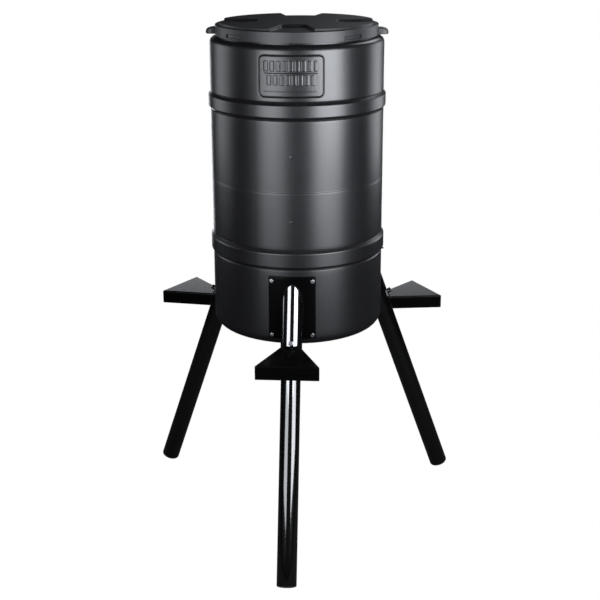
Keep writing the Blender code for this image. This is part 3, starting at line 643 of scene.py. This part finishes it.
def makeLid():
    # rows run from the middle of the top out to the rim, under the flange, down and up the threaded
    # wall, and back to the middle underneath. Columns follow the sides of the pockets
    shape = lidShape
    topR = np.concatenate([[0.003], np.linspace(0.012, 0.090, 9), np.linspace(0.095, 0.118, 24),
                           np.linspace(0.122, 0.198, 16), np.linspace(0.2020, shape["lobe"], 10),
                           [0.2065, 0.2072, 0.2077]])
    under, wallR, wallFoot = shape["flange"], shape["threadRadius"], shape["threadFoot"]
    edge = [(shape["radius"], shape["floor"] - 0.0005), (shape["radius"], under + 0.0005), (0.2073, under),
            (0.2000, under), (wallR + 0.0008, under), (wallR, under - 0.0008)]
    wallZ = np.linspace(under - 0.0015, wallFoot + 0.0012, 44)
    innerR = wallR - shape["threadWall"]
    foot = [(wallR - 0.0005, wallFoot + 0.0003), (wallR - 0.0012, wallFoot), (innerR + 0.0012, wallFoot),
            (innerR, wallFoot + 0.0012), (innerR, under - 0.0006), (innerR - 0.0006, under)]
    underR = np.concatenate([np.linspace(0.1850, 0.1800, 8), np.linspace(0.176, 0.122, 12),
                             np.linspace(0.118, 0.095, 20), np.linspace(0.090, 0.012, 8), [0.003]])
    edge, foot = np.array(edge), np.array(foot)
    radius = np.concatenate([topR, edge[:, 0], np.full(len(wallZ), wallR), foot[:, 0], underR])
    side = float(pocketSide(np.array(shape["sideRadius"])))
    near = np.array(shape["sideSteps"]) / shape["sideRadius"]
    steps = np.concatenate([np.linspace(0, side - 0.10, 5), side - near[::-1],
                            np.linspace(side + 0.12, math.pi / 4, 8)])
    steps = np.unique(np.round(np.clip(steps, 0, math.pi / 4), 6))
    away = np.concatenate([-steps[:0:-1], steps])[:-1]
    around = np.concatenate([away + middle * math.pi / 2 for middle in range(4)])[None, :]
    away = np.concatenate([away] * 4)[None, :]
    r = radius[:, None]
    bend = (pocketSide(r) - side) * (1 - np.clip((np.abs(away) - side) / (math.pi / 4 - side), 0, 1))
    away = np.sign(away) * (np.abs(away) + bend * np.clip(np.abs(away) / side, 0, 1))
    middleAngle = np.round(around / (math.pi / 2)) * math.pi / 2
    angles = np.broadcast_to(middleAngle + away, (len(radius), around.shape[1]))
    tall = shape["top"] - shape["floor"]
    topZ = shape["floor"] + tall * lobeHeight(topR[:, None], away[:len(topR)], 0.0, shape["lobe"])
    topZ[topR > shape["lobe"]] = shape["floor"]
    topZ[-1] -= 0.0001
    underAway = away[-len(underR):]
    underZ = under + tall * lobeHeight(underR[:, None], underAway, shape["sheet"] + 0.001, shape["hollow"])
    columns = angles.shape[1]
    turn = angles[:1] / fullTurn
    up = wallZ[:, None] - wallFoot
    threadTurn = np.mod(up / shape["threadPitch"] - turn, 1.0)
    thread = smooth(1 - np.abs(threadTurn - 0.5) / 0.26) * smooth((under - 0.004 - wallZ[:, None]) / 0.003)
    thread = thread * smooth((up - 0.001) / 0.003)
    fullR = np.repeat(r, columns, axis=1)
    start = len(topR) + len(edge)
    fullR[start:start + len(wallZ)] += shape["threadProud"] * thread
    wide = np.ones((1, columns))
    z = np.concatenate([topZ, edge[:, 1:] * wide, wallZ[:, None] * wide, foot[:, 1:] * wide, underZ])
    addPiece("lid_cap", aroundDrum(spin(fullR, z, angles)), lidFinish, ("lid",), "screw_lid")


gasketShape = {"inner": 0.1985, "outer": 0.2030, "low": 1.3579, "high": 1.3591, "edge": 0.0005}


def makeGasket():
    grid = turnProfile(tubeProfile(*gasketShape.values()), 180)
    addPiece("lid_seal_ring", aroundDrum(grid), rubberFinish, ("lid_gasket",), "lid_seal", closed=True)


makeLid()
makeGasket()
print("hopper: lid and seal made")


outletShape = {"bore": 0.0305, "spout": 0.0335, "spoutFoot": 0.537, "rim": 0.2215, "rimZ": (0.765, 0.779),
               "sheet": 0.0025, "flange": 0.046, "flangeThick": 0.003, "nutCorner": 0.049, "nutHigh": 0.012,
               "plateBore": 0.036, "plateRadius": 0.085, "plateThick": 0.003, "plateEdge": 0.0006}
outletFloor = 0.5619
outletTop = 0.5566


def hexReach(angles, corner):
    # distance to the side of a hexagon with a corner at angle 0
    return corner * math.cos(math.pi / 6) / np.cos(np.mod(angles, math.pi / 3) - math.pi / 6)


def hexRing(rows, corner, low, high, columns):
    # a hexagon round a bore. A row is its widest reach and its height above the lower face, and the
    # upper half mirrors the lower one
    limit, up = np.array(rows).T[..., None]
    limit, z = np.concatenate([limit, limit[::-1]]), np.concatenate([low + up, high - up[::-1]])
    angles = ringAngles(columns)[None, :]
    return spin(np.minimum(hexReach(angles, corner), limit), z, angles)


def makeFunnel():
    shape = outletShape
    bore, spout, rim, sheet, flange = (shape[key] for key in ("bore", "spout", "rim", "sheet", "flange"))
    low, high = shape["rimZ"]
    coneFoot, collar, seat = outletFloor + 0.008, spout + 0.004, outletFloor + shape["flangeThick"]
    slope = (low - coneFoot) / (rim - sheet - bore)
    drop = sheet * math.sqrt(1 + slope * slope)
    collarTop = coneFoot + slope * (collar - bore) - drop
    rimFoot = coneFoot + slope * (rim - bore) - drop
    corners = [(bore, shape["spoutFoot"]), (spout, shape["spoutFoot"]), (spout, outletFloor),
               (flange, outletFloor), (flange, seat), (collar, seat), (collar, collarTop), (rim, rimFoot),
               (rim, high), (rim - sheet, high), (rim - sheet, low), (bore, coneFoot)]
    profile = rounded(corners, [0.0006, 0.0006, 0.0003, 0.0006, 0.0006, 0.001, 0.001, 0.003, 0.0008, 0.0008,
                                0.006, 0.008])
    addPiece("funnel_shell", aroundDrum(turnProfile(profile, 120)), plasticFinish, ("funnel",), closed=True)


def makeSpoutNut():
    # a hexagon with eased corners and chamfered faces, round a plain bore
    shape = outletShape
    top = outletTop - shape["plateThick"] - 0.0004
    corner, bore = shape["nutCorner"], shape["spout"] + 0.0004
    flat = corner * math.cos(math.pi / 6)
    rows = [(bore, 0.001), (bore + 0.001, 0), (flat - 0.004, 0), (flat - 0.0005, 0), (flat + 0.0035, 0.001),
            (corner - 0.0012, 0.0028)]
    grid = hexRing(rows, corner, top - shape["nutHigh"], top, 144)
    addPiece("spout_lock_nut", aroundDrum(grid), plasticFinish, ("spout_nut",), closed=True)


def makeFeederPlate():
    shape = outletShape
    low = outletTop - shape["plateThick"]
    bore, radius, edge = shape["plateBore"], shape["plateRadius"], shape["plateEdge"]
    profile = tubeProfile(bore, radius, low, outletTop, edge, steps=5)
    grid = aroundDrum(turnProfile(profile, 120))
    addPiece("feeder_mount_disc", grid, steelFinish, ("feeder_plate",), closed=True)


makeFunnel()
makeSpoutNut()
makeFeederPlate()


def boltGrid(corner, head, shank, length, pitch, columns=36):
    # rows run from the middle of the head's top, over its chamfer, under the head and down a screw thread
    flat = corner * math.cos(math.pi / 6)
    drop = np.array([0.0, 0.0, 0.0, 0.15, 0.35, 0.62, 1.0]) * 0.1 * flat
    limit = np.array([0.25, 0.60, 0.93, 1.0, 1.05, 1.10, 1.17]) * flat
    underZ = np.array([0.00025, 0.0, 0.0])
    underLimit = np.array([1.17 * flat, 0.98 * flat, shank + 0.0003])
    threadZ = np.arange(-0.0006, -length + 0.0008, -pitch / 4)
    tipZ = np.array([-length + 0.0005, -length, -length])
    tipR = np.array([shank - 0.0002, shank - 0.0008, shank * 0.4])
    z = np.concatenate([head - drop, underZ, threadZ, tipZ])[:, None]
    limit = np.concatenate([limit, underLimit, np.full(len(threadZ), shank), tipR])[:, None]
    angles = ringAngles(columns)[None, :]
    reach = np.minimum(hexReach(angles, corner), limit)
    turn = np.mod(z / pitch - angles / fullTurn, 1.0)
    groove = 0.28 * pitch * (1 - 2 * np.abs(turn - 0.5)) * ((z < -0.0008) & (z > -length + 0.0006))
    return spin(reach - groove, z, angles)


def nutGrid(corner, low, high, bore, columns=36):
    # a hexagon chamfered on both faces, with a bore that is eased at both ends
    flat = corner * math.cos(math.pi / 6)
    tall = 0.1 * flat
    rows = [(bore, 0.0004), (bore + 0.0004, 0), (0.95 * flat, 0), (flat, 0.1 * tall),
            (1.06 * flat, 0.4 * tall), (1.17 * flat, tall)]
    return hexRing(rows, corner, low, high, columns)


bracketBolts = {"side": 0.051, "heights": (0.588, 0.734), "shank": 0.003, "corner": 0.00577, "head": 0.004,
                "length": 0.0195, "pitch": 0.001, "nutHigh": 0.005, "nutFace": 0.2223}


def makeBracketBolts(name, azimuth):
    values = bracketBolts
    lean = math.asin(values["side"] / drumRadius)
    spots = [(sign * lean, height) for height in values["heights"] for sign in (-1, 1)]
    bolt = boltGrid(values["corner"], values["head"], values["shank"], values["length"], values["pitch"])
    nut = nutGrid(values["corner"], -values["nutHigh"], 0.0, values["shank"] + 0.0003)
    for number, (angle, height) in enumerate(spots, 1):
        turn = azimuth + math.degrees(angle)
        for label, grid, reach, closed in (("bolt", bolt, plateFace + 0.0004, False),
                                           ("nut", nut, values["nutFace"], True)):
            placed = aroundDrum(facingOut(grid, reach, height), turn)
            stands = (f"plate_{label}_{name}_{number}",)
            addPiece(f"bracket_{label}_{name}_{number}", placed, zincFinish, stands, closed=closed)


feederScrews = {"corner": 0.0046, "head": 0.0035, "shank": 0.0025, "length": 0.0135, "pitch": 0.0008,
                "circle": 0.070}


def makeFeederScrews():
    values = feederScrews
    grid = boltGrid(values["corner"], values["head"], values["shank"], values["length"], values["pitch"])
    seat = outletTop - outletShape["plateThick"] - 0.0004
    hung = grid * np.array([1.0, -1.0, -1.0]) + np.array([0.0, -values["circle"], seat])    # head downwards
    for quarter in range(4):
        stands = (f"feeder_plate_screw_{quarter + 1}",)
        addPiece(f"feeder_screw_{quarter + 1}", aroundDrum(hung, 45 + 90 * quarter), zincFinish, stands)


makeFeederScrews()


plateShape = {"halfWide": 0.0605, "z": (0.578, 0.746), "inner": 0.2279, "corner": 0.004, "edge": 0.0008}


def makePlate(name, azimuth):
    # rings run from the middle of the front, over the rounded edge, to the middle of the back. Each ring
    # is the round-cornered outline drawn in towards the middle, and x is rolled round the drum
    shape = plateShape
    middle = sum(shape["z"]) / 2
    halfWide, halfHigh = shape["halfWide"], (shape["z"][1] - shape["z"][0]) / 2
    half = np.array([halfWide, halfHigh])
    outline = rounded(half * np.array([(1, 1), (-1, 1), (-1, -1), (1, -1)]), shape["corner"], steps=7)
    fractions = np.linspace(0, 1, 9)[:-1, None]
    after = np.roll(outline, -1, axis=0)
    long = np.linalg.norm(after - outline, axis=1) > 0.01
    runs = [here + (then - here) * fractions if wide else here[None]
            for here, then, wide in zip(outline, after, long)]
    outline = np.concatenate(runs)
    ease = np.linspace(0, math.pi / 2, 4)
    inset = np.concatenate([np.full(12, shape["edge"]), shape["edge"] * (1 - np.sin(ease))[1:]])
    depth = np.concatenate([np.zeros(12), shape["edge"] * (1 - np.cos(ease))[1:]])
    scale = np.concatenate([np.linspace(0.02, 1, 12), np.ones(3)])
    thick = plateFace - shape["inner"]
    inset, scale = np.concatenate([inset, inset[::-1]]), np.concatenate([scale, scale[::-1]])
    depth = np.concatenate([depth, thick - depth[::-1]])
    ring = outline[None] * (1 - inset[:, None, None] / half) * scale[:, None, None]
    reach = plateFace - depth[:, None]
    grid = spin(reach + 0 * ring[..., 0], middle + ring[..., 1], ring[..., 0] / drumRadius)
    addPiece(f"bracket_face_{name}", aroundDrum(grid, azimuth), satinFinish, (f"bracket_plate_{name}",))


socketShape = {"outer": 0.02775, "inner": 0.02575, "footZ": 0.539, "ease": 0.0005, "columns": 96}
socketFoot = (socketShape["footZ"] - footZ) / legCosine


def wallMeets(radius, angles, wall):
    # how far up the leg's line a tube of this radius meets an upright round wall
    return (footReach + radius * np.cos(angles) * legCosine
            - np.sqrt(wall ** 2 - (radius * np.sin(angles)) ** 2)) / legSine


def makeSocket(name, azimuth):
    # a tube cut square at its foot and mitred to the plate at its top, outside then inside
    shape = socketShape
    outer, inner, ease = shape["outer"], shape["inner"], shape["ease"]
    angles = ringAngles(shape["columns"])[None, :]
    outTop = wallMeets(outer, angles, plateFace + 0.0004)
    inTop = wallMeets(inner, angles, plateFace + 0.0004)
    part = np.linspace(0, 1, 14)[:, None]
    low = socketFoot + ease
    foot = np.array([[inner + ease], [outer - ease]])
    grid = np.concatenate([spin(outer, low + (outTop - low) * part, angles),
                           spin(inner, inTop + (low - inTop) * part, angles), spin(foot, socketFoot, angles)])
    addPiece(f"leg_socket_{name}", onLeg(grid, azimuth), steelFinish, (f"socket_{name}",), closed=True)


weldShape = {"ripple": 0.13,
             "socket": {"halfAngle": 150, "points": 420, "gap": 0.0007, "size": 0.0023, "ripples": 46,
                        "taper": 30},
             "step": {"halfAngle": 58, "points": 200, "gap": 0.0005, "size": 0.0019, "ripples": 19,
                      "taper": 24}}


def bead(path, outwards, values):
    # a round bead carried along a path, thinner at its ends, with a ripple for each pass of the torch
    along = np.linspace(0, 1, len(path))
    pulse = np.sin(fullTurn * values["ripples"] * along + 1.5 * np.sin(23 * along))
    thick = values["size"] * (1 + weldShape["ripple"] * pulse)
    thick = thick * np.sqrt(np.clip(1 - np.abs(2 * along - 1) ** values["taper"], 0.02, 1))
    forward = np.gradient(path, axis=0)
    forward /= np.linalg.norm(forward, axis=1, keepdims=True)
    sideways = np.cross(forward, outwards)
    sideways /= np.linalg.norm(sideways, axis=1, keepdims=True)
    turn = ringAngles(14)[None, :, None]
    ring = outwards[:, None] * np.cos(turn) * 0.8 + sideways[:, None] * np.sin(turn)
    return path[:, None] + ring * thick[:, None, None]


def makeWelds(name, azimuth):
    # one bead round the top of the socket, and one where the socket goes into the step
    for label, values in (("socket", weldShape["socket"]), ("step", weldShape["step"])):
        half = math.radians(values["halfAngle"])
        around = np.linspace(-half, half, values["points"])
        tube = socketShape["outer"] + values["gap"]
        if label == "socket":
            up = wallMeets(tube, around, plateFace + 0.0008)
        else:
            up = (stepShape["top"] + 0.0004 - footZ - tube * np.cos(around) * legSine) / legCosine
        path = onLeg(spin(tube, up, around), 0.0) - np.array([0, axisY, 0])
        direction = path * np.array([1, 1, 0])
        if label == "step":
            direction = np.broadcast_to([0.0, 0.0, 1.0], path.shape)
        outwards = direction / np.linalg.norm(direction, axis=1, keepdims=True)
        addPiece(f"{label}_weld_{name}", aroundDrum(bead(path, outwards, values), azimuth), satinFinish)


stepShape = {"top": 0.578, "outer": 0.420, "halfWide": 0.081, "taper": 0.41176, "deep": 0.036, "sheet": 0.003,
             "bend": 0.0035, "corner": 0.0035, "sleeve": 0.02815, "middle": 0.352}


def stepOutline(setIn, height):
    # the step seen from above at a height: its outer edge, its two sides up to the socket tube,
    # and the arc of the tube between them, as one closed ring of points (x, distance from the axis)
    shape = stepShape
    slope = shape["taper"]
    side = shape["halfWide"] - slope * shape["outer"] - setIn * math.sqrt(1 + slope * slope)
    middle = footReach - (height - footZ) * legSine / legCosine
    long, wide = shape["sleeve"] / legCosine, shape["sleeve"]
    a = 1 / long ** 2 + slope ** 2 / wide ** 2
    b = -2 * middle / long ** 2 + 2 * slope * side / wide ** 2
    c = middle ** 2 / long ** 2 + side ** 2 / wide ** 2 - 1
    meet = (-b + math.sqrt(b * b - 4 * a * c)) / (2 * a)
    outer = shape["outer"] - setIn
    cornerX = slope * outer + side
    meetX = slope * meet + side
    eased = max(shape["corner"] - setIn, 0.0006)
    outside = rounded([(meetX, meet), (cornerX, outer), (-cornerX, outer), (-meetX, meet)],
                      [0, eased, eased, 0], steps=6, closed=False)
    part = np.linspace(0, 1, 17)[:, None]
    runs = [outside[0] + (outside[1] - outside[0]) * part[:-1], outside[1:6],
            outside[6] + (outside[7] - outside[6]) * part[:-1], outside[7:12],
            outside[12] + (outside[13] - outside[12]) * part]
    start = math.asin(meetX / wide)
    arc = np.linspace(-start, start, 27)
    tube = np.stack([wide * np.sin(arc), middle + long * np.cos(arc)], axis=-1)
    return np.concatenate(runs + [tube]), len(tube)


def makeStep(name, azimuth):
    # rings run from the middle of the tread, over the bend, down the flange, and back up inside it.
    # along the socket tube there is no flange, so those columns stay within the sheet's thickness
    shape = stepShape
    top, bend, sheet = shape["top"], shape["bend"], shape["sheet"]
    foot = top - shape["deep"]
    turn = np.linspace(0, math.pi / 2, 8)
    rings = [(scale, bend, top) for scale in (0.02, 0.15, 0.3, 0.45, 0.6, 0.75, 0.88, 0.96)]
    rings += [(1, bend * (1 - math.sin(t)), top - bend * (1 - math.cos(t))) for t in turn]
    fall = shape["deep"] - bend - 0.0006
    rings += [(1, 0.0, top - bend - fall * part) for part in (0.25, 0.5, 0.75, 1.0)]
    rings += [(1, 0.0006, foot), (1, sheet - 0.0006, foot), (1, sheet, foot + 0.0006)]
    rings += [(1, sheet, foot + (shape["deep"] - sheet - 0.001) * part) for part in (0.3, 0.6, 1.0)]
    rings += [(1, sheet + 0.001, top - sheet)]
    rings += [(scale, sheet + 0.001, top - sheet) for scale in (0.96, 0.85, 0.7, 0.5, 0.3, 0.15, 0.02)]
    middle = np.array([0.0, shape["middle"]])
    rows = []
    for scale, setIn, height in rings:
        outline, arc = stepOutline(setIn, height)
        ring = middle + (outline - middle) * scale
        z = np.full(len(ring), height)
        z[-arc:] = np.clip(z[-arc:], top - sheet, top)
        if scale == 1:
            level = stepOutline(setIn, max(height, top - sheet))[0]
            ring[-arc:] = level[-arc:]
        rows.append(np.stack([ring[:, 0], -ring[:, 1], z], axis=-1))
    addPiece(f"folded_step_{name}", aroundDrum(np.array(rows), azimuth), satinFinish, (f"step_{name}",))


legShape = {"wall": 0.00165, "footHead": 0.003, "footStem": 0.025, "ribDeep": 0.0007, "screwCorner": 0.0075,
            "screwHead": 0.0053, "screwShank": 0.004, "nutHigh": 0.0065, "screwPitch": 0.00125}


def makeLeg(name, azimuth):
    shape = legShape
    outer = legLine["radius"]
    bore = outer - shape["wall"]
    low = shape["footHead"] + 0.0004
    profile = tubeProfile(bore, outer, low, legTop, 0.0005, steps=4)
    along = np.linspace(0, 1, 9)[1:-1, None]
    profile = np.concatenate([profile[:8], profile[7] + (profile[8] - profile[7]) * along, profile[8:],
                              profile[15] + (profile[0] - profile[15]) * along])
    body = f"leg_{name}"
    tube = onLeg(turnProfile(profile, 96), azimuth)
    addPiece(f"leg_tube_{name}", tube, steelFinish, (f"leg_{name}",), body, closed=True)
    stem, headTop = bore - 0.0004, shape["footHead"]
    stemTop = shape["footStem"] + headTop
    ribs = np.linspace(headTop + 0.002, shape["footStem"], 24)
    head = [(0.004, 0.0), (0.012, 0.0), (outer - 0.0012, 0.0), (outer - 0.0006, 0.0002),
            (outer - 0.0002, 0.0006), (outer, 0.0012), (outer, headTop - 0.0003), (outer - 0.0003, headTop),
            (stem, headTop)]
    stemRows = np.stack([stem - shape["ribDeep"] * np.mod(np.arange(24) * 0.25, 1.0), ribs], axis=-1)
    tail = [(stem - 0.001, stemTop - 0.001), (stem - 0.002, stemTop), (0.004, stemTop)]
    plug = onLeg(turnProfile(np.concatenate([head, stemRows, tail]), 72), azimuth)
    addPiece(f"foot_plug_{name}", plug, rubberFinish, (f"foot_{name}",), body)


def makeLegScrew(name, azimuth):
    # the nut is welded to the socket, and the screw goes through it to the leg
    shape = legShape
    nutLow = socketShape["outer"] + 0.0004
    nutHigh = nutLow + shape["nutHigh"]
    seat = nutHigh + 0.0004
    nut = nutGrid(shape["screwCorner"], nutLow, nutHigh, shape["screwShank"] + 0.0003)
    screw = boltGrid(shape["screwCorner"], shape["screwHead"], shape["screwShank"],
                     seat - legLine["radius"] - 0.0004, shape["screwPitch"])
    for label, grid, lift, finish, closed in (("nut", nut, 0.0, steelFinish, True),
                                              ("screw", screw, seat, zincFinish, False)):
        placed = onLeg(facingOut(grid + np.array([0, 0, lift]), 0.0, screwUp), azimuth)
        addPiece(f"lock_{label}_{name}", placed, finish, (f"leg_{label}_{name}",), closed=closed)


for legName, legAzimuth in legAzimuths.items():
    makePlate(legName, legAzimuth)
    makeBracketBolts(legName, legAzimuth)
    makeSocket(legName, legAzimuth)
    makeStep(legName, legAzimuth)
    makeWelds(legName, legAzimuth)
    makeLeg(legName, legAzimuth)
    makeLegScrew(legName, legAzimuth)
print("hopper: brackets, steps and legs made")


# a point of the profile is its distance from the plug's axis and its height above the wall
plugShape = {"azimuth": 95.0, "z": 0.753,
             "profile": ((0.0006, -0.0073), (0.0026, -0.0073), (0.003, -0.0069), (0.003, -0.0053),
                         (0.002, -0.0053), (0.002, 0.0066), (0.0017, 0.0076), (0.0012, 0.008),
                         (0.0004, 0.008))}


def makeCablePlug():
    shape = plugShape
    upright = turnProfile(np.array(shape["profile"]), 32)
    placed = aroundDrum(facingOut(upright, drumRadius, shape["z"]), shape["azimuth"])
    addPiece("cable_stub", placed, rubberFinish, ("cable_plug",))


makeCablePlug()


studio = {"floorHalf": 60.0, "white": 1.0, "shade": 0.025, "ambient": 0.018, "aimZ": 1.2,
          "tint": (0.92, 0.95, 1.0),
          "left": {"azimuth": -27, "distance": 1.6, "size": (0.84, 0.83), "z": 1.255, "watts": 20.5},
          "leftLow": {"azimuth": -27, "distance": 1.6, "size": (0.84, 0.45), "z": 0.615, "watts": 4.8},
          "right": {"azimuth": 42, "distance": 1.6, "size": (1.00, 0.83), "z": 1.255, "watts": 45},
          "rightLow": {"azimuth": 42, "distance": 1.6, "size": (1.00, 0.45), "z": 0.615, "watts": 9.6},
          "rimLeft": {"azimuth": -106, "distance": 2.6, "size": (1.4, 1.5), "z": 1.2, "watts": 15},
          "rimRight": {"azimuth": 127, "distance": 2.6, "size": (1.3, 1.5), "z": 1.2, "watts": 18},
          "back": {"azimuth": 188, "distance": 2.6, "size": (2.0, 1.3), "z": 0.67, "watts": 34},
          "above": {"azimuth": 150, "distance": 2.2, "size": (1.6, 1.2), "z": 2.9, "watts": 24}}


def makeFloor():
    half = studio["floorHalf"]
    mesh = bpy.data.meshes.new("studio_floor")
    corners = [(-half, -half, 0), (half, -half, 0), (half, half, 0), (-half, half, 0)]
    mesh.from_pydata(corners, [], [(0, 1, 2, 3)])
    material = bpy.data.materials.new("studio floor")
    material.use_nodes = True
    tree = material.node_tree
    tree.nodes.clear()
    seen = addNode(tree, "ShaderNodeLightPath", {}).outputs["Is Camera Ray"]
    pale = addNode(tree, "ShaderNodeEmission", {"Color": (1, 1, 1, 1), "Strength": studio["white"]})
    matte = addNode(tree, "ShaderNodeBsdfDiffuse", {"Color": (studio["shade"],) * 3 + (1,)})
    blend = addNode(tree, "ShaderNodeMixShader", {0: seen, 1: matte.outputs[0], 2: pale.outputs[0]})
    addNode(tree, "ShaderNodeOutputMaterial", {"Surface": blend.outputs[0]})
    mesh.materials.append(material)
    floor = bpy.data.objects.new("studio_floor", mesh)
    scene.collection.objects.link(floor)


def makeWorld():
    world = bpy.data.worlds.new("studio")
    world.use_nodes = True
    tree = world.node_tree
    seen = addNode(tree, "ShaderNodeLightPath", {}).outputs["Is Camera Ray"]
    strength = plus(tree, studio["ambient"], times(tree, seen, studio["white"] - studio["ambient"]))
    setInputs(tree, tree.nodes["Background"], {"Color": (1, 1, 1, 1), "Strength": strength})
    scene.world = world


def standAt(azimuth, distance, z):
    turn = math.radians(azimuth)
    return distance * math.sin(turn), axisY - distance * math.cos(turn), z


def addLight(name):
    values = studio[name]
    light = bpy.data.lights.new(name, "AREA")
    light.shape = "RECTANGLE"
    light.size, light.size_y = values["size"]
    light.energy = values["watts"]
    light.color = studio["tint"]
    item = bpy.data.objects.new("light_" + name, light)
    scene.collection.objects.link(item)
    item.location = standAt(values["azimuth"], values["distance"], values["z"])
    aimZ = studio["aimZ"] if name == "above" else values["z"]
    aim = np.array([0.0, axisY, aimZ]) - np.array(item.location)
    item.rotation_euler = (math.atan2(math.hypot(aim[0], aim[1]), -aim[2]), 0, math.atan2(-aim[0], aim[1]))
    item.visible_camera = False


makeFloor()
makeWorld()
for lightName in ("left", "leftLow", "right", "rightLow", "rimLeft", "rimRight", "back", "above"):
    addLight(lightName)

cameraView = {"azimuth": 3.75, "distance": 3.111, "height": 1.683, "down": 16.08, "roll": -0.23,
              "lens": 71.33, "shift": (0.0040, -0.105)}
lens = bpy.data.cameras.new("camera")
lens.lens = cameraView["lens"]
lens.shift_x, lens.shift_y = cameraView["shift"]
camera = bpy.data.objects.new("camera", lens)
scene.collection.objects.link(camera)
camera.location = standAt(cameraView["azimuth"], cameraView["distance"], cameraView["height"])
turns = ((cameraView["azimuth"], "Z"), (90 - cameraView["down"], "X"), (cameraView["roll"], "Z"))
around, tilt, roll = (Matrix.Rotation(math.radians(angle), 3, axis) for angle, axis in turns)
camera.rotation_euler = (around @ tilt @ roll).to_euler()
scene.camera = camera
scene.view_settings.view_transform = "Standard"
print("hopper: studio ready")
